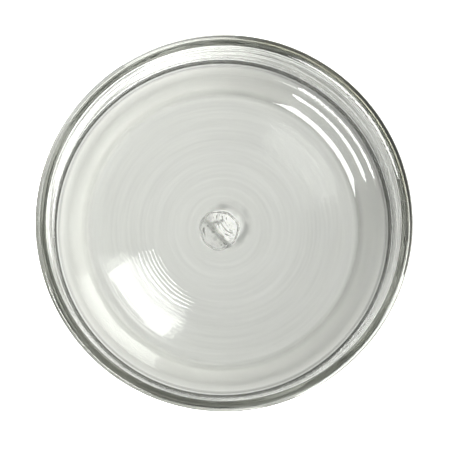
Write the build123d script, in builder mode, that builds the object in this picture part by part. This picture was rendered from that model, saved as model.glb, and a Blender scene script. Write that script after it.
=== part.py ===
"""Crystallizing dish: a low, round, straight-sided dish of clear glass with a beaded rim.

The dish is one piece of glass. It is modelled as the zones that are formed one after another, each
its own solid, and each meets its neighbour face to face:

  base         the spun bottom, pushed up in the middle, out to the flat foot ring
  heel         the thick turn from the bottom to the wall, with the foot ring under it
  side_wall    the straight cylinder of the wall
  rim_bead     the fire-rounded bead round the mouth, with its sloping lip and its neck on the wall
  pontil_mark  the wad of glass left under the middle of the base where the holding rod broke away

Frame: millimetres, +Z up, origin on the bench at the middle of the foot ring.
"""

import os
from math import cos, radians, sin, sqrt

from build123d import *

# Driving dimensions
rim_diameter = 150.0  # over the bead, the widest part of the dish
height = 75.0  # bench to the crest of the bead
rim_width = 4.5  # from the inside of the wall to the outside of the bead
bead_radius = 1.75  # of the bead's outside, up to its crest
lip = ((1.75, radians(13)), (15.0, radians(21)))  # in from the crest: radius, and slope at its end
wall_thickness = 2.8
dome_slope = radians(18.2)  # steepest slope of the pushed-up base, inside and underneath
valley_r = 52.5  # inside, the lowest circle, between the dome and the rise to the wall
valley_z = 4.4
valley_turn = 2.0  # radius inside, from the dome down to the valley
rise = ((18.0, radians(24)), (340.0, radians(25.6)))  # radius, and slope at its end
foot_inner_r = 60.5  # the flat ring that the dish stands on
foot_outer_r = 66.3
foot_turn = 15.0  # radius underneath, from the dome down to the foot ring
rim_neck = 5.5  # wall below the bead's centre that belongs to the rim
neck_fillet = 1.0  # outside, where the bead meets the wall
pontil_diameter = 17.0
pontil_offset = (-1.4, -0.4)  # of the wad from the dish's axis
pontil_depth = 2.3  # how far the wad hangs below the base
pontil_slope = 1.1  # how far the wad draws in from its root to its lower edge
pontil_edge = 0.55  # rounding of the wad's lower edge
scar_radius = 9.0  # of the shell-shaped hollows where it broke
scar_depth = 0.9
scar_places = [(2.6, 1.2), (-2.2, 2.4), (-0.6, -3.0)]  # from the wad's axis

# Derived radii and heights
bead_r = rim_diameter / 2 - bead_radius
bead_z = height - bead_radius
wall_inner_r = rim_diameter / 2 - rim_width
wall_outer_r = wall_inner_r + wall_thickness
heel_outer_radius = wall_outer_r - foot_outer_r
rim_joint_z = bead_z - rim_neck

# The base is a dome inside and underneath, and each surface has a turn that is tangent to it.
inner_dome = valley_r / sin(dome_slope) - valley_turn
inner_top_z = valley_z + (inner_dome + valley_turn) * (1 - cos(dome_slope))
under_dome = foot_inner_r / sin(dome_slope) - foot_turn
under_top_z = (under_dome + foot_turn) * (1 - cos(dome_slope))
inner_tangent = (inner_dome * sin(dome_slope), inner_top_z - inner_dome * (1 - cos(dome_slope)))
under_tangent = (under_dome * sin(dome_slope), under_top_z - under_dome * (1 - cos(dome_slope)))


def rise_ends():
    """Where each arc of the inside's rise ends, out from the valley, as (radius of the arc, end)."""
    r, z, slope = valley_r, valley_z, 0.0
    ends = []
    for radius, reached in rise:
        r += radius * (sin(reached) - sin(slope))
        z += radius * (cos(slope) - cos(reached))
        slope = reached
        ends.append((radius, (r, z)))
    corner = (wall_inner_r - r) / (1 - sin(slope))
    ends.append((corner, (wall_inner_r, z + corner * cos(slope))))
    return ends


def lip_ends():
    """Where each arc of the lip ends, in from the crest, as (radius of the arc, end)."""
    r, z, slope = bead_r, height, 0.0
    ends = []
    for radius, reached in lip:
        r -= radius * (sin(reached) - sin(slope))
        z -= radius * (cos(slope) - cos(reached))
        slope = reached
        ends.append((radius, (r, z)))
    edge = (r - wall_inner_r) / (1 - sin(slope))
    ends.append((edge, (wall_inner_r, z - edge * cos(slope))))
    return ends


def under_dome_z(r):
    """Height of the underside of the base at a radius inside the dome."""
    return under_top_z - under_dome + sqrt(under_dome**2 - r**2)


def save(zone, name):
    """Labels a finished zone and writes it as its own STEP file."""
    zone.part.label = name
    export_step(zone.part, f"parts/{name}.step")


os.makedirs("parts", exist_ok=True)
rises = rise_ends()
wall_foot_z = rises[-1][1][1]
(turn_radius, turn_end), (slope_radius, slope_end) = rises[:2]
turn_slope = rise[0][1]
slope_centre_r = turn_end[0] - slope_radius * sin(turn_slope)
slope_centre_z = turn_end[1] + slope_radius * cos(turn_slope)
# Inside, over the joint between the base and the heel
joint_z = slope_centre_z - sqrt(slope_radius**2 - (foot_inner_r - slope_centre_r) ** 2)

# Base: the dome and its turns, closed by the upright face that meets the heel over the foot's inner edge
with BuildPart() as base:
    with BuildSketch(Plane.XZ):
        with BuildLine():
            RadiusArc((0, under_top_z), under_tangent, under_dome)
            RadiusArc(under_tangent, (foot_inner_r, 0), -foot_turn)
            Line((foot_inner_r, 0), (foot_inner_r, joint_z))
            RadiusArc((foot_inner_r, joint_z), turn_end, slope_radius)
            RadiusArc(turn_end, (valley_r, valley_z), turn_radius)
            RadiusArc((valley_r, valley_z), inner_tangent, valley_turn)
            RadiusArc(inner_tangent, (0, inner_top_z), -inner_dome)
            Line((0, inner_top_z), (0, under_top_z))
        make_face()
    revolve(axis=Axis.Z)
save(base, "base")

# Heel: a rounded outside and a long rise with a tight corner inside, so the glass is thickest here
with BuildPart() as heel:
    with BuildSketch(Plane.XZ):
        with BuildLine():
            Line((foot_inner_r, 0), (foot_outer_r, 0))
            RadiusArc((foot_outer_r, 0), (wall_outer_r, heel_outer_radius), -heel_outer_radius)
            Line((wall_outer_r, heel_outer_radius), (wall_outer_r, wall_foot_z))
            Line((wall_outer_r, wall_foot_z), (wall_inner_r, wall_foot_z))
            RadiusArc((wall_inner_r, wall_foot_z), slope_end, rises[2][0])
            RadiusArc(slope_end, (foot_inner_r, joint_z), slope_radius)
            Line((foot_inner_r, joint_z), (foot_inner_r, 0))
        make_face()
    revolve(axis=Axis.Z)
save(heel, "heel")

# Side wall: a plain tube
with BuildPart() as side_wall:
    with BuildSketch(Plane.XY.offset(wall_foot_z)):
        Circle(wall_outer_r)
        Circle(wall_inner_r, mode=Mode.SUBTRACT)
    extrude(amount=rim_joint_z - wall_foot_z)
save(side_wall, "side_wall")

# Rim: the bead stands proud of the wall outside, over a filleted neck, and a lip slopes down to the inside
lips = lip_ends()
neck_r = wall_outer_r + neck_fillet  # the centre of the neck's fillet
neck_z = bead_z - sqrt((bead_radius + neck_fillet) ** 2 - (neck_r - bead_r) ** 2)
bead_share = bead_radius / (bead_radius + neck_fillet)
bead_end = (bead_r + (neck_r - bead_r) * bead_share, bead_z + (neck_z - bead_z) * bead_share)
with BuildPart() as rim_bead:
    with BuildSketch(Plane.XZ):
        with BuildLine():
            Line((wall_inner_r, rim_joint_z), lips[2][1])
            RadiusArc(lips[2][1], lips[1][1], lips[2][0])
            RadiusArc(lips[1][1], lips[0][1], lips[1][0])
            RadiusArc(lips[0][1], (rim_diameter / 2, bead_z), bead_radius)
            RadiusArc((rim_diameter / 2, bead_z), bead_end, bead_radius)
            RadiusArc(bead_end, (wall_outer_r, neck_z), -neck_fillet)
            Polyline((wall_outer_r, neck_z), (wall_outer_r, rim_joint_z), (wall_inner_r, rim_joint_z))
        make_face()
    revolve(axis=Axis.Z)
save(rim_bead, "rim_bead")

# Pontil mark: a low wad under the dome, a little off the axis, with three hollows where it broke
wad_r = pontil_diameter / 2
wad_x, wad_y = pontil_offset
wad_z = under_top_z - pontil_depth
wad_root_z = under_dome_z(wad_r)
wad_plane = Plane(origin=(wad_x, wad_y, 0), x_dir=(1, 0, 0), z_dir=(0, -1, 0))
with BuildPart() as pontil_mark:
    with BuildSketch(wad_plane):
        with BuildLine():
            Polyline(
                (0, wad_z),
                (wad_r - pontil_slope, wad_z),
                (wad_r, wad_root_z),
                (wad_r, height / 2),
                (0, height / 2),
                close=True,
            )
        make_face()
    revolve(axis=Axis((wad_x, wad_y, 0), (0, 0, 1)))
    lower_edge = pontil_mark.edges().filter_by(GeomType.CIRCLE).sort_by(Axis.Z)[0]
    fillet(lower_edge, pontil_edge)
    for x, y in scar_places:
        with Locations((wad_x + x, wad_y + y, wad_z - scar_radius + scar_depth)):
            Sphere(scar_radius, mode=Mode.SUBTRACT)
    with Locations((0, 0, under_top_z - under_dome)):
        Sphere(under_dome, mode=Mode.INTERSECT)
save(pontil_mark, "pontil_mark")

for zone in (base, heel, side_wall, rim_bead, pontil_mark):
    print(zone.part.label, round(zone.part.volume), "mm3", zone.part.bounding_box())
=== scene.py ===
"""Looks of the crystallizing dish: one piece of clear glass on a pale floor, seen from almost straight above.

Metres, in the CAD's frame: +Z up, the bench at z = 0, the dish's axis on Z.
"""

from math import asin, atan2, cos, pi, radians, sin, sqrt

import bpy
import numpy as np
from mathutils import Matrix, Vector


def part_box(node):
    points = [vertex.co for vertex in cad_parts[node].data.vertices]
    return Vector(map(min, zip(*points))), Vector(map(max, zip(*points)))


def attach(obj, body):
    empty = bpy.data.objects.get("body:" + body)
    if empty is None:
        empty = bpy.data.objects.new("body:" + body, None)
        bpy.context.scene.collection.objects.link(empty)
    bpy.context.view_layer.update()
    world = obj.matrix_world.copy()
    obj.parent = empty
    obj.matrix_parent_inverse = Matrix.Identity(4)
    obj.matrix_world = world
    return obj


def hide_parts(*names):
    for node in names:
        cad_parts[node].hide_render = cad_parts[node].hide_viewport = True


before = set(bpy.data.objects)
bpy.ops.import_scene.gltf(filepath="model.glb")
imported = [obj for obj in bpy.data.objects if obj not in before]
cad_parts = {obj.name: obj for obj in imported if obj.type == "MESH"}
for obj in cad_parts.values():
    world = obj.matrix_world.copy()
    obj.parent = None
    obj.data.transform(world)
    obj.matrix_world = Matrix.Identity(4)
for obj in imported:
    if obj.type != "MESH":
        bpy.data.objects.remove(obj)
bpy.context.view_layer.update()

MM = 0.001
UP = pi / 2  # angles in the (r, z) plane, from +r
DOWN = -pi / 2

# Sizes of the dish that the CAD's boxes give
rim_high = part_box("rim_bead")[1]
rim_r = rim_high.x
rim_z = rim_high.z
wall_outer_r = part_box("side_wall")[1].x

# Sizes inside those boxes, as the CAD has them
BEAD = 1.75 * MM  # radius of the bead's outside, up to its crest
# The lip, inwards from the crest: radius, slope reached, and steps in the mesh
LIP = [(1.75 * MM, radians(13), 4), (15 * MM, radians(21), 12)]
WALL = 2.8 * MM
NECK = 1.0 * MM  # fillet under the bead
VALLEY_R = 52.5 * MM  # where the inside is lowest
VALLEY_Z = 4.4 * MM
INNER_TURN = 2.0 * MM  # inside, from the dome down to the valley
# Inside, out from the valley: radius, slope reached, and steps in the mesh
RISE = [(18 * MM, radians(24), 14), (340 * MM, radians(25.6), 22)]
FOOT_IN = 60.5 * MM
FOOT_OUT = 66.3 * MM
UNDER_TURN = 15.0 * MM  # underside, from the dome down to the foot
LEAN = radians(18.2)  # steepest slope of the dome
WAD = (-1.4 * MM, -0.4 * MM)  # middle of the pontil mark

wall_inner_r = wall_outer_r - WALL
bead_r = rim_r - BEAD
bead_z = rim_z - BEAD
outer_round = wall_outer_r - FOOT_OUT
top_dome = VALLEY_R / sin(LEAN) - INNER_TURN
under_dome = FOOT_IN / sin(LEAN) - UNDER_TURN
top_z = VALLEY_Z + (top_dome + INNER_TURN) * (1 - cos(LEAN))
under_z = (under_dome + UNDER_TURN) * (1 - cos(LEAN))

# ---------------------------------------------------------------- section of the dish

WAD_ZONE = 11 * MM  # radius of the part of the underside that is finely divided for the pontil mark
RINGS_FROM = 28 * MM  # the part of the inside that is finely divided for the tool's rings
RINGS_TO = 51 * MM
SEGMENTS = 224  # round the dish


def arc(cr, cz, radius, start, end, count):
    """Points on an arc in the (r, z) plane, with the first one left out."""
    angles = [start + (end - start) * i / count for i in range(1, count + 1)]
    return [(cr + radius * cos(a), cz + radius * sin(a)) for a in angles]


def run(start, end, count):
    """Points on a straight line in the (r, z) plane, with the first one left out."""
    return [
        (start[0] + (end[0] - start[0]) * i / count, start[1] + (end[1] - start[1]) * i / count)
        for i in range(1, count + 1)
    ]


def underside():
    """From the middle of the underside to the outer edge of the flat foot ring."""
    centre_z = under_z - under_dome
    wad_angle = asin(WAD_ZONE / under_dome)
    points = [(0.0, under_z)]
    points += arc(0, centre_z, under_dome, UP, UP - wad_angle, 36)
    points += arc(0, centre_z, under_dome, UP - wad_angle, UP - LEAN, 16)
    points += arc(FOOT_IN, UNDER_TURN, UNDER_TURN, DOWN - LEAN, DOWN, 8)
    return points + run((FOOT_IN, 0), (FOOT_OUT, 0), 6)


def outside():
    """From the foot ring up the outside of the wall and round the bead to its crest."""
    neck_r = wall_outer_r + NECK
    neck_z = bead_z - sqrt((BEAD + NECK) ** 2 - (neck_r - bead_r) ** 2)
    neck_end = atan2(bead_z - neck_z, bead_r - neck_r)
    points = arc(FOOT_OUT, outer_round, outer_round, DOWN, 0, 14)
    points += run((wall_outer_r, outer_round), (wall_outer_r, neck_z), 30)
    points += arc(neck_r, neck_z, NECK, pi, neck_end, 4)
    return points + arc(bead_r, bead_z, BEAD, neck_end - pi, UP, 16)


def lip():
    """From the crest of the bead down the lip to the inside of the wall."""
    points = []
    r, z, slope = bead_r, rim_z, 0.0
    for radius, reached, count in LIP:
        centre_r, centre_z = r + radius * sin(slope), z - radius * cos(slope)
        points += arc(centre_r, centre_z, radius, UP + slope, UP + reached, count)
        r, z = points[-1]
        slope = reached
    edge = (r - wall_inner_r) / (1 - sin(slope))
    return points + arc(r + edge * sin(slope), z - edge * cos(slope), edge, UP + slope, pi, 7)


def rise():
    """From the lowest circle of the inside out and up to the foot of the wall."""
    points = [(VALLEY_R, VALLEY_Z)]
    r, z, slope = VALLEY_R, VALLEY_Z, 0.0
    for radius, reached, count in RISE:
        centre_r, centre_z = r - radius * sin(slope), z + radius * cos(slope)
        points += arc(centre_r, centre_z, radius, DOWN + slope, DOWN + reached, count)
        r, z = points[-1]
        slope = reached
    corner = (wall_inner_r - r) / (1 - sin(slope))
    return points + arc(r - corner * sin(slope), z + corner * cos(slope), corner, DOWN + slope, 0, 16)


def dome():
    """From the lowest circle of the inside to the middle of the dome."""
    centre_z = top_z - top_dome
    rings_from = asin(RINGS_FROM / top_dome)
    rings_to = asin(RINGS_TO / top_dome)
    points = arc(VALLEY_R, VALLEY_Z + INNER_TURN, INNER_TURN, DOWN, DOWN - LEAN, 6)
    points += arc(0, centre_z, top_dome, UP - LEAN, UP - rings_to, 3)
    points += arc(0, centre_z, top_dome, UP - rings_to, UP - rings_from, 160)
    return points + arc(0, centre_z, top_dome, UP - rings_from, UP, 14)


def section():
    """The dish's half section as (r, z) points, and how many of them come before its inside.

    It goes from the middle of the underside, round the rim, to the middle of the top.
    """
    outer = underside() + outside() + lip()
    rising = rise()
    inner = run((wall_inner_r, outer[-1][1]), (wall_inner_r, rising[-1][1]), 40)
    inner += rising[-2::-1] + dome()
    return outer + inner, len(outer)


# ---------------------------------------------------------------- unevenness of the glass

RINGS_CENTRE = (-0.9 * MM, -0.4 * MM)  # of the rings and steps inside
RING_PITCH = 1.45 * MM
RING_HEIGHT = 0.026 * MM
INSIDE_TOP = 16 * MM  # rings and steps lie inside, below this height
# Low steps inside, all the way round, in mm: radius, width, height
STEPS = [(64.8, 1.2, 0.085), (68.5, 1.0, 0.075), (57.0, 0.8, 0.012), (37.5, 0.9, 0.02)]
STEPS_END = 69  # radius in mm, near the wall's foot, where the steps end
OUTER_STEPS = 60  # radius in mm, beyond which the steps are lower away from STRONG_SIDE
STRONG_SIDE = 0.5  # direction, in radians from +X, in which streaks and outer steps are strongest
STREAKS_OUTSIDE = 0.0014  # size of the wall's streaks in that direction
STREAKS_INSIDE = 0.0026
STREAKS_ANYWHERE = 0.0005
STREAKS_FLAT = 30  # how many times longer the streaks are than high
LUMPS = 0.006  # slope of the slow lumps that are everywhere
BEAD_CHANGE = 0.08 * MM  # most that the bead gets thinner

WAD_EDGE = 8.3 * MM  # radius of the wad
WAD_DROP = 2.2 * MM  # how far it hangs below the base
WAD_SIDE = 1.0 * MM  # width of its sloping side
WAD_FACE = 2.2 * MM  # its broken face reaches its full depth this far from the edge
ACROSS_CRACK = (0.72, 0.69)  # the crack runs square to this, from the upper left to the lower right


def waves(seed, count, longest, shortest):
    """Random plane waves: their wave vectors, phases and wavelengths, in metres."""
    rng = np.random.default_rng(seed)
    length = np.exp(rng.uniform(np.log(shortest), np.log(longest), count))
    way = rng.normal(size=(count, 3))
    way /= np.linalg.norm(way, axis=1)[:, None]
    return 2 * pi * way / length[:, None], rng.uniform(0, 2 * pi, count), length


def lumps(points, seed, count, longest, shortest):
    """A smooth random field, in metres, whose slopes are about 1 and alike at every wavelength."""
    k, phase, length = waves(seed, count, longest, shortest)
    value = np.zeros(len(points))
    for i in range(count):
        value += length[i] / (2 * pi) * np.sin(points @ k[i] + phase[i])
    return value * sqrt(2 / count)


def smooth(x):
    """0 below 0, 1 above 1, and in between a change that starts and ends gently."""
    x = np.clip(x, 0, 1)
    return x * x * (3 - 2 * x)


def bump(x, low, high, soft):
    """1 between low and high, falling smoothly to 0 over soft on each side."""
    return smooth((x - low + soft) / soft) * smooth((high + soft - x) / soft)


def streaks(p, r, a, inner):
    """Fine lumps on the wall, which lie across it and are strongest on one side."""
    x, y, z = p.T
    on_wall = bump(z, 14 * MM, 66 * MM, 6 * MM) * (r > 68 * MM)
    toward = 0.5 + 0.5 * np.cos(a - STRONG_SIDE)
    size = STREAKS_ANYWHERE + np.where(inner, STREAKS_INSIDE, STREAKS_OUTSIDE) * toward**2
    flattened = np.stack([x, y, z * STREAKS_FLAT], 1)
    return size * on_wall * lumps(flattened, seed=2, count=30, longest=260 * MM, shortest=110 * MM)


def rings_and_steps(p, r, a):
    """Rings that the tool left inside, and low steps all the way round."""
    x, y = p[:, 0], p[:, 1]
    off = np.hypot(x - RINGS_CENTRE[0], y - RINGS_CENTRE[1])
    off += 0.16 * MM * np.sin(2 * a + 1) + 0.07 * MM * np.sin(7 * a)
    patchy = 0.75 + 0.25 * np.sin(a * 3 + 0.6) * np.sin(a * 8 + r / (4 * MM))
    band = 0.5 * bump(r, 31 * MM, 38 * MM, 7 * MM) + 0.5 * bump(r, 31 * MM, 47 * MM, 5 * MM)
    groove = (0.5 + 0.5 * np.sin(2 * pi * off / RING_PITCH)) ** 4
    move = band * patchy * RING_HEIGHT * groove
    toward = 0.5 + 0.5 * np.cos(a - STRONG_SIDE)
    for where, wide, high in STEPS:
        step = smooth((off / MM - where) / wide + 0.5)
        sunk = step * bump(r, (where - 2) * MM, max(where + wide, STEPS_END) * MM, 1.5 * MM)
        share = 1 if where < OUTER_STEPS else 0.3 + 0.7 * toward**2
        move -= sunk * share * high * MM
    return move


def pontil_mark(p):
    """How far the wad hangs down, with a crack across its face, a hollow beside it, ripples and chips."""
    px, py = p[:, 0] - WAD[0], p[:, 1] - WAD[1]
    pr, pa = np.hypot(px, py), np.arctan2(py, px)
    edge = WAD_EDGE * (1 + 0.03 * np.sin(3 * pa + 0.5) + 0.02 * np.sin(7 * pa))
    drop = smooth((edge - pr) / WAD_SIDE) * WAD_DROP
    inside = np.clip((edge - pr) / WAD_FACE, 0, 1)
    # The rest is in mm
    px, py = px / MM, py / MM
    ridge = px * ACROSS_CRACK[0] + py * ACROSS_CRACK[1]
    crack = 1.3 * np.exp(-((ridge + 1.5) ** 2) / 1.1)
    shell = np.hypot(px - 7, py - 5)
    ripples = 0.22 * np.sin(2 * pi * shell / 1.6) * np.clip(1.3 - np.abs(ridge - 3) / 4, 0, 1)
    bowl = 1.08 * np.clip(1 - (np.hypot(px + 2.2, py + 1.6) / 5.5) ** 2, 0, 1)
    chips = 0.55 * lumps(p, seed=7, count=26, longest=8 * MM, shortest=2 * MM)
    return drop - inside * ((crack + bowl + ripples) * MM - chips)


def unevenness(p, r, a, inner):
    """How far each point of the glass moves along its normal, as hand-made glass is uneven."""
    z = p[:, 2]
    move = LUMPS * lumps(p, seed=1, count=24, longest=60 * MM, shortest=25 * MM)
    move += streaks(p, r, a, inner)
    move += (inner & (z < INSIDE_TOP)) * rings_and_steps(p, r, a)
    on_rim = bump(z, 70 * MM, 80 * MM, 3 * MM)
    move -= on_rim * BEAD_CHANGE * (0.5 + 0.3 * np.sin(2 * a + 0.4) + 0.2 * np.sin(3 * a + 2))
    return np.where(~inner & (r < WAD_ZONE), pontil_mark(p), move)


def blown(name, points, turned):
    """The dish as a closed mesh, turned from its section and then made uneven.

    The inside starts with the point numbered turned.
    """
    profile = np.array(points)
    along = np.gradient(profile, axis=0)
    along /= np.linalg.norm(along, axis=1)[:, None]
    rings = len(profile) - 2  # every point but the two on the axis
    r, z = np.repeat(profile[1:-1], SEGMENTS, axis=0).T
    along_r, along_z = np.repeat(along[1:-1], SEGMENTS, axis=0).T
    a = np.tile(2 * pi * np.arange(SEGMENTS) / SEGMENTS, rings)
    inner = np.repeat(np.arange(1, rings + 1) >= turned, SEGMENTS)
    p = np.stack([r * np.cos(a), r * np.sin(a), z], 1)
    move = unevenness(p, r, a, inner)

    # Along the normal, which is (along_z, -along_r), but nothing leaves the CAD's box
    r = np.minimum(r + along_z * move, rim_r)
    z = np.clip(z - along_r * move, 0, rim_z)
    low_middle = [0, 0, z[:SEGMENTS].mean()]
    top_middle = [0, 0, points[-1][1]]
    verts = np.concatenate([[low_middle], np.stack([r * np.cos(a), r * np.sin(a), z], 1), [top_middle]])
    last = len(verts) - 1
    top_ring = last - SEGMENTS
    faces = []
    for j in range(SEGMENTS):
        k = (j + 1) % SEGMENTS
        faces.append((0, 1 + k, 1 + j))
        for low in range(1, top_ring, SEGMENTS):
            faces.append((low + j, low + k, low + SEGMENTS + k, low + SEGMENTS + j))
        faces.append((last, top_ring + j, top_ring + k))
    mesh = bpy.data.meshes.new(name)
    mesh.from_pydata(verts.tolist(), [], faces)
    mesh.update()
    mesh.polygons.foreach_set("use_smooth", [True] * len(mesh.polygons))
    obj = bpy.data.objects.new(name, mesh)
    bpy.context.scene.collection.objects.link(obj)
    return obj


# ---------------------------------------------------------------- node trees


class Graph:
    """The nodes of a material or of the world, with a short call for each kind that is used here.

    A value is a constant or another node's output, and each call gives its own node's output.
    """

    def __init__(self, owner):
        owner.use_nodes = True
        self.tree = owner.node_tree
        self.nodes = self.tree.nodes

    def plug(self, socket, value):
        """Links a node's output into socket, or sets a constant on it."""
        if isinstance(value, bpy.types.NodeSocket):
            self.tree.links.new(value, socket)
        elif socket.type == "RGBA":
            socket.default_value = (*value, 1)
        else:
            socket.default_value = value

    def place(self, kind):
        """Coordinates: Object or Generated."""
        return self.nodes.new("ShaderNodeTexCoord").outputs[kind]

    def split(self, value):
        """The x, y and z of a vector."""
        node = self.nodes.new("ShaderNodeSeparateXYZ")
        self.plug(node.inputs["Vector"], value)
        return node.outputs

    def along_z(self, value):
        """A vector of that length along z."""
        node = self.nodes.new("ShaderNodeCombineXYZ")
        self.plug(node.inputs["Z"], value)
        return node.outputs["Vector"]

    def arithmetic(self, kind, operation, values):
        """The outputs of a node that works on values, which go to its inputs in order."""
        node = self.nodes.new(kind)
        node.operation = operation
        for socket, value in zip(node.inputs, values):
            self.plug(socket, value)
        return node.outputs

    def number(self, operation, *values):
        """Arithmetic on numbers."""
        return self.arithmetic("ShaderNodeMath", operation, values)["Value"]

    def vector(self, operation, *values):
        """Arithmetic on vectors that gives a vector."""
        return self.arithmetic("ShaderNodeVectorMath", operation, values)["Vector"]

    def measure(self, operation, *values):
        """Arithmetic on vectors that gives a number: LENGTH, DISTANCE or DOT_PRODUCT."""
        return self.arithmetic("ShaderNodeVectorMath", operation, values)["Value"]

    def scale(self, value, factor):
        """A vector or colour times a number."""
        node = self.nodes.new("ShaderNodeVectorMath")
        node.operation = "SCALE"
        self.plug(node.inputs[0], value)
        self.plug(node.inputs["Scale"], factor)
        return node.outputs["Vector"]

    def spread(self, value, low, high, to_low=0.0, to_high=1.0):
        """low..high turned into to_low..to_high, and held at both ends."""
        node = self.nodes.new("ShaderNodeMapRange")
        self.plug(node.inputs["Value"], value)
        self.plug(node.inputs["From Min"], low)
        self.plug(node.inputs["From Max"], high)
        self.plug(node.inputs["To Min"], to_low)
        self.plug(node.inputs["To Max"], to_high)
        return node.outputs["Result"]

    def mix(self, factor, a, b, data_type="RGBA"):
        """a where factor is 0, and b where it is 1."""
        node = self.nodes.new("ShaderNodeMix")
        node.data_type = data_type
        self.plug(node.inputs["Factor"], factor)
        self.plug(node.inputs["A"], a)
        self.plug(node.inputs["B"], b)
        return node.outputs["Result"]

    def ramp(self, value, low, high, stops):
        """Colours by a value between low and high. stops are (value, colour), in rising order."""
        node = self.nodes.new("ShaderNodeValToRGB")
        self.plug(node.inputs["Fac"], self.spread(value, low, high))
        elements = node.color_ramp.elements
        while len(elements) < len(stops):
            elements.new(0.5)
        for element, (at, colour) in zip(elements, stops):
            element.position = (at - low) / (high - low)
            element.color = (*colour, 1)
        return node.outputs["Color"]

    def noise(self, place, scale, detail):
        """Smooth noise, mostly between 0.25 and 0.75."""
        node = self.nodes.new("ShaderNodeTexNoise")
        self.plug(node.inputs["Vector"], place)
        self.plug(node.inputs["Scale"], scale)
        self.plug(node.inputs["Detail"], detail)
        return node.outputs["Fac"]


def grey(stops):
    """Stops for a ramp of greys, from (value, level)."""
    return [(at, (level, level, level)) for at, level in stops]


# ---------------------------------------------------------------- the glass's material

# Tints of the glass by zone. They stand for what thick glass and the room do to the light, and are set for
# this light, seen from above: most of them are painted shade, and the wad's pale half is painted light. Each
# surface that the light crosses gives it the tint's square root.
PALE = (0.985, 0.987, 0.975)  # hardly tinted
TINT = (0.615, 0.623, 0.60)  # the base: partly the glass's own tint, partly painted shade of the floor under the dish
EDGE_SHADE = (0.26, 0.265, 0.245)  # painted shade on the turn at the foot's inner edge
HEEL_SHADE = (0.28, 0.285, 0.265)  # painted shade on the foot's flat ring
FOOT_SHADE = (0.22, 0.225, 0.205)  # painted shade on the round outside the foot
NEAR_CORNER_SHADE = (0.095, 0.097, 0.09)  # inside, painted shade in a ring just short of the corner at the wall's foot
CORNER_SHADE = (0.04, 0.041, 0.036)  # inside, darker painted shade in that corner
WALL_TINT = (0.8, 0.812, 0.785)  # the wall, above its foot
CRACK_SHADE = (0.25, 0.255, 0.24)  # painted shade along the crack in the wad
RIM_SHADE = (0.105, 0.104, 0.072)  # painted shade on the bead and the lip, where they are darkest
BODY_COLOUR = (0.55, 0.57, 0.50)  # cast that light gets on its way through the glass
BODY_DENSITY = 11.0  # and how fast it gets it, per metre

# Heights over which one zone's tints give way to the next one's
UNDER_TO_INSIDE = (4.3 * MM, 4.7 * MM)
INSIDE_TO_WALL = (14 * MM, 20 * MM)
WALL_TO_RIM = (70.8 * MM, 72.0 * MM)
WAD_TO_INSIDE = (11 * MM, 10.5 * MM)

# Radius in mm and tint or painted shade, for the inside and for the underside
INSIDE_TINTS_AND_SHADE = [
    (57.5, TINT),
    (60.0, PALE),
    (68.0, PALE),
    (68.7, NEAR_CORNER_SHADE),
    (69.6, NEAR_CORNER_SHADE),
    (69.9, CORNER_SHADE),
    (70.42, CORNER_SHADE),
    (70.49, PALE),
]
UNDER_TINTS_AND_SHADE = [
    (56.0, TINT),
    (58.2, EDGE_SHADE),
    (59.6, EDGE_SHADE),
    (60.8, HEEL_SHADE),
    (66.0, HEEL_SHADE),
    (70.0, FOOT_SHADE),
    (71.5, PALE),
]
# Distance across the crack in mm, and tint, on the wad: painted shade along the crack and painted light on
# its far side
WAD_SHADE_AND_LIGHT = [
    (-8.0, PALE),
    (-7.2, TINT),
    (-3.2, TINT),
    (-2.3, CRACK_SHADE),
    (-1.1, CRACK_SHADE),
    (-0.2, PALE),
    (10.0, PALE),
]
TINTS_TO = 100 * MM  # radius that the tints by radius reach
WAD_TINTS_TO = 10 * MM  # and distance from the wad's middle, either way
WAD_SOFT = 0.4 * MM  # over which the wad's tints end
ARCS_ACROSS = 800.0  # cells of noise per metre of radius
ARCS_ALONG = 30.0  # and per metre along the arcs
ARCS_LEVELS = (0.955, 1.03)


def in_metres(stops):
    """Stops given in mm, in metres."""
    return [(at * MM, colour) for at, colour in stops]


def rim_shade_share(graph, place, radius):
    """How much of the rim's painted shade there is: dark at the lower left and upper right, with a dark outer
    edge.
    """
    x, y, z = graph.split(place)
    lower_left = graph.measure("DOT_PRODUCT", place, (-0.7, -0.7, 0))
    on_lip = graph.spread(lower_left, 15 * MM, 35 * MM, 0.0, 0.55)
    diagonal = graph.spread(graph.number("MULTIPLY", x, y), -0.0022, 0.0012, 0.2, 1.0)
    weaker = graph.spread(lower_left, -20 * MM, 20 * MM, 1.0, 0.72)
    edge_line = graph.spread(radius, 74.45 * MM, 74.6 * MM, 0.0, 0.95)
    on_bead = graph.number("MAXIMUM", graph.number("MULTIPLY", diagonal, weaker), edge_line)
    outer_half = graph.spread(radius, 72.3 * MM, 72.6 * MM)
    share = graph.mix(outer_half, on_lip, on_bead, "FLOAT")
    return graph.number("MULTIPLY", graph.spread(z, *WALL_TO_RIM), share)


def with_wad_shade_and_light(graph, flat, z, colour):
    """colour, and on the wad its own painted shade and light: dark along the crack, and pale on the far side
    of it.
    """
    from_wad = graph.vector("SUBTRACT", flat, (*WAD, 0))
    across = graph.measure("DOT_PRODUCT", from_wad, (*ACROSS_CRACK, 0))
    tint = graph.ramp(across, -WAD_TINTS_TO, WAD_TINTS_TO, in_metres(WAD_SHADE_AND_LIGHT))
    on_wad = graph.spread(graph.measure("LENGTH", from_wad), WAD_EDGE + WAD_SOFT, WAD_EDGE)
    underneath = graph.spread(z, *WAD_TO_INSIDE)
    return graph.mix(graph.number("MULTIPLY", on_wad, underneath), colour, tint)


def faint_arcs(graph, flat, radius):
    """A level near 1 that changes fast with the radius and slowly along the arcs."""
    fast = graph.along_z(graph.number("MULTIPLY", radius, ARCS_ACROSS))
    stretched = graph.vector("ADD", graph.scale(flat, ARCS_ALONG), fast)
    return graph.spread(graph.noise(stretched, 1.0, 3.0), 0.25, 0.75, *ARCS_LEVELS)


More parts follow.
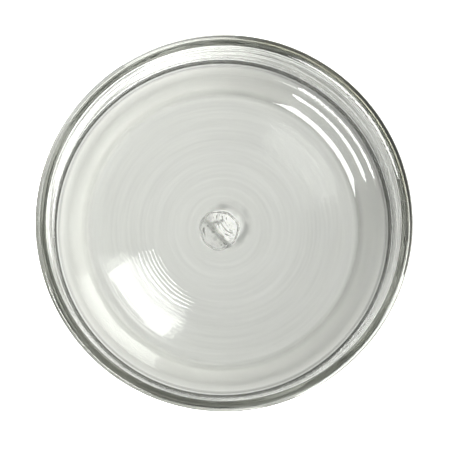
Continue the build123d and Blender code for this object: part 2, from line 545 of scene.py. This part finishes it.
def glass_material():
    """Clear glass with a faint grey-green cast, tinted by zone, with painted shade and painted light in the
    tints.
    """
    mat = bpy.data.materials.new("clear_glass")
    graph = Graph(mat)
    place = graph.place("Object")
    flat = graph.vector("MULTIPLY", place, (1, 1, 0))
    radius = graph.measure("LENGTH", flat)
    z = graph.split(place)["Z"]
    # The tints by radius hold painted shade: rings at the foot and in the corner at the wall's foot.
    below = graph.ramp(radius, 0.0, TINTS_TO, in_metres(UNDER_TINTS_AND_SHADE))
    inside = graph.ramp(radius, 0.0, TINTS_TO, in_metres(INSIDE_TINTS_AND_SHADE))
    colour = graph.mix(graph.spread(z, *UNDER_TO_INSIDE), below, inside)
    colour = graph.mix(graph.spread(z, *INSIDE_TO_WALL), colour, WALL_TINT)
    # Painted shade on the rim, darker on some sides and along its outer edge.
    colour = graph.mix(rim_shade_share(graph, place, radius), colour, RIM_SHADE)
    # Painted shade along the wad's crack, and painted light on its far side.
    colour = with_wad_shade_and_light(graph, flat, z, colour)
    colour = graph.scale(colour, faint_arcs(graph, flat, radius))
    shader = graph.nodes["Principled BSDF"]
    graph.plug(shader.inputs["Base Color"], colour)
    shader.inputs["Roughness"].default_value = 0.0
    shader.inputs["IOR"].default_value = 1.5
    shader.inputs["Transmission Weight"].default_value = 1.0
    volume = graph.nodes.new("ShaderNodeVolumeAbsorption")
    volume.inputs["Color"].default_value = (*BODY_COLOUR, 1)
    volume.inputs["Density"].default_value = BODY_DENSITY
    graph.plug(graph.nodes["Material Output"].inputs["Volume"], volume.outputs["Volume"])
    return mat


glass = glass_material()
outline, turned = section()
dish = blown("dish_glass", outline, turned)
dish.data.materials.append(glass)
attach(dish, "root")
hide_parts("base", "heel", "side_wall", "rim_bead", "pontil_mark")

# ---------------------------------------------------------------- floor

FLOOR = 2.5  # half its width
FLOOR_GAP = 0.05 * MM  # under the dish, so that the two faces don't coincide
# Distance from the axis, and colour of the paper, which darkens far from the dish as painted shade
PAPER_AND_FALLOFF = [(0.16, (0.86, 0.86, 0.86)), (0.6, (0.35, 0.35, 0.34))]
SIDEWAYS = (-2.6, 0.5, 0)  # how fast the floor gets lighter with painted light, per metre: to the left
SIDEWAYS_MOST = 0.27  # either way
# Distance from the axis, and level of the glow
GLOW = [(0.069, 0.0), (0.0735, 1.0), (0.10, 1.0), (0.17, 0.1), (0.6, 0.0)]
GLOW_EVERYWHERE = 0.57
DIM_TO = (0.82, 0.57, 0)  # the glow round the dish is weakest this way, at the upper right
DIM_OVER = (25 * MM, 65 * MM)  # distance that way over which it weakens
DIM_LEVELS = (2.6, 0.35)  # before and after
SHADOW_AT = (2.7 * MM, 2.4 * MM, 0)  # middle of the wad's ring of shadow
# Distance from there, and level: 0 is darkest and 1 brightest
SHADOW = [(0.0, 0.75), (5.4 * MM, 0.95), (7.2 * MM, 0.1), (8.2 * MM, 0.12), (10.4 * MM, 0.5)]
SHADOW_TO = 20 * MM
SHADOW_CHANGE = 0.4  # most that it darkens or brightens the floor
SHADOW_NOISE = 170.0  # cells per metre
SHADOW_BREAKS = (0.38, 0.58)  # noise at which least and all of the shadow is left
SHADOW_LEAST = 0.15


def wad_shadow(graph, place):
    """Level of the floor in the wad's shadow: a soft dark ring round a bright middle, broken by noise."""
    away = graph.measure("DISTANCE", place, SHADOW_AT)
    cast = graph.ramp(away, 0.0, SHADOW_TO, grey(SHADOW))
    cast = graph.spread(cast, 0.0, 1.0, 1 - SHADOW_CHANGE, 1 + SHADOW_CHANGE)
    share = graph.spread(graph.noise(place, SHADOW_NOISE, 1.0), *SHADOW_BREAKS, SHADOW_LEAST, 1.0)
    return graph.mix(share, 1.0, cast, "FLOAT")


def floor_material():
    """Pale paper that glows, most of all just outside the dish, so that it burns out there. Its colour also
    carries painted light and shade: lighter to the left, darker far away, and the wad's shadow.
    """
    mat = bpy.data.materials.new("floor")
    graph = Graph(mat)
    place = graph.place("Object")
    away = graph.measure("LENGTH", place)
    sideways = graph.measure("DOT_PRODUCT", place, SIDEWAYS)
    level = graph.spread(sideways, -SIDEWAYS_MOST, SIDEWAYS_MOST, 1 - SIDEWAYS_MOST, 1 + SIDEWAYS_MOST)
    level = graph.number("MULTIPLY", level, wad_shadow(graph, place))
    dim = graph.spread(graph.measure("DOT_PRODUCT", place, DIM_TO), *DIM_OVER, *DIM_LEVELS)
    glow = graph.number("MULTIPLY_ADD", graph.ramp(away, 0.0, 1.0, grey(GLOW)), dim, GLOW_EVERYWHERE)
    shader = graph.nodes["Principled BSDF"]
    graph.plug(shader.inputs["Base Color"], graph.scale(graph.ramp(away, 0.0, 1.0, PAPER_AND_FALLOFF), level))
    graph.plug(shader.inputs["Emission Color"], graph.number("MULTIPLY", glow, level))
    shader.inputs["Emission Strength"].default_value = 1.0
    shader.inputs["Roughness"].default_value = 0.9
    shader.inputs["Specular IOR Level"].default_value = 0.0
    return mat


floor_mesh = bpy.data.meshes.new("floor")
corners = [(-FLOOR, -FLOOR, 0), (FLOOR, -FLOOR, 0), (FLOOR, FLOOR, 0), (-FLOOR, FLOOR, 0)]
floor_mesh.from_pydata(corners, [], [(0, 1, 2, 3)])
floor_mesh.materials.append(floor_material())
floor = bpy.data.objects.new("floor", floor_mesh)
bpy.context.scene.collection.objects.link(floor)
floor.location.z = -FLOOR_GAP

# ---------------------------------------------------------------- light

LIGHT_DISTANCE = 1.3
LIGHT_AIM = (0, 0, 0.02)
ROOM = (0.5, 0.5, 0.4925)
ROOM_TOWARD = (1.1, 0.35, 0)  # the room is brightest this way, to the right
ROOM_MIDDLE = 1.2  # level square to that
ROOM_LEAST = 0.05


def look(obj, place, target, up):
    """Stands obj at place so that its -Z points at target and its +Y leans to up."""
    back = (Vector(place) - Vector(target)).normalized()
    side = Vector(up).cross(back).normalized()
    top = back.cross(side)
    obj.matrix_world = Matrix.Translation(place) @ Matrix((side, top, back)).transposed().to_4x4()


def softbox(name, azimuth, elevation, width, height, radiance):
    """A rectangular light, aimed at the dish. Azimuth is from +X, and the angles are in degrees."""
    a, e = radians(azimuth), radians(elevation)
    light = bpy.data.lights.new(name, "AREA")
    light.shape = "RECTANGLE"
    light.size = width
    light.size_y = height
    light.energy = radiance * width * height * pi
    obj = bpy.data.objects.new(name, light)
    bpy.context.scene.collection.objects.link(obj)
    obj.visible_camera = False
    place = Vector((cos(a) * cos(e), sin(a) * cos(e), sin(e))) * LIGHT_DISTANCE
    look(obj, place, LIGHT_AIM, (0, 0, 1))


def room():
    """The surroundings: grey, bright on the right and dark on the left."""
    world = bpy.data.worlds.new("studio")
    graph = Graph(world)
    toward = graph.measure("DOT_PRODUCT", graph.place("Generated"), ROOM_TOWARD)
    level = graph.number("MAXIMUM", graph.number("ADD", toward, ROOM_MIDDLE), ROOM_LEAST)
    graph.plug(graph.nodes["Background"].inputs["Color"], graph.scale(ROOM, level))
    return world


softbox("key", azimuth=219, elevation=58.7, width=0.62, height=0.30, radiance=18.0)
softbox("card_front", azimuth=285, elevation=8, width=0.9, height=0.34, radiance=1.5)
softbox("card_left", azimuth=148, elevation=8, width=0.6, height=0.34, radiance=2.2)

scene = bpy.context.scene
scene.world = room()

# ---------------------------------------------------------------- camera

CAMERA_AT = (-0.010, -0.044, rim_z + 1.070)  # a little in front of the dish and to its left
CAMERA_AIM = (0.00042, -0.00085, bead_z)

camera = bpy.data.cameras.new("camera")
camera.sensor_width = 36
camera.lens = 216.2
camera.clip_start = 0.05
camera.clip_end = 20
camera_obj = bpy.data.objects.new("camera", camera)
scene.collection.objects.link(camera_obj)
look(camera_obj, CAMERA_AT, CAMERA_AIM, (0, 1, 0))
scene.camera = camera_obj

# ---------------------------------------------------------------- how it is rendered

scene.view_settings.view_transform = "Standard"
scene.view_settings.look = "None"
scene.cycles.max_bounces = 24
scene.cycles.transmission_bounces = 24
scene.cycles.glossy_bounces = 16
scene.cycles.diffuse_bounces = 4
scene.cycles.caustics_refractive = True
scene.cycles.caustics_reflective = True
scene.cycles.blur_glossy = 0.0
scene.cycles.sample_clamp_indirect = 8.0
scene.cycles.use_denoising = True
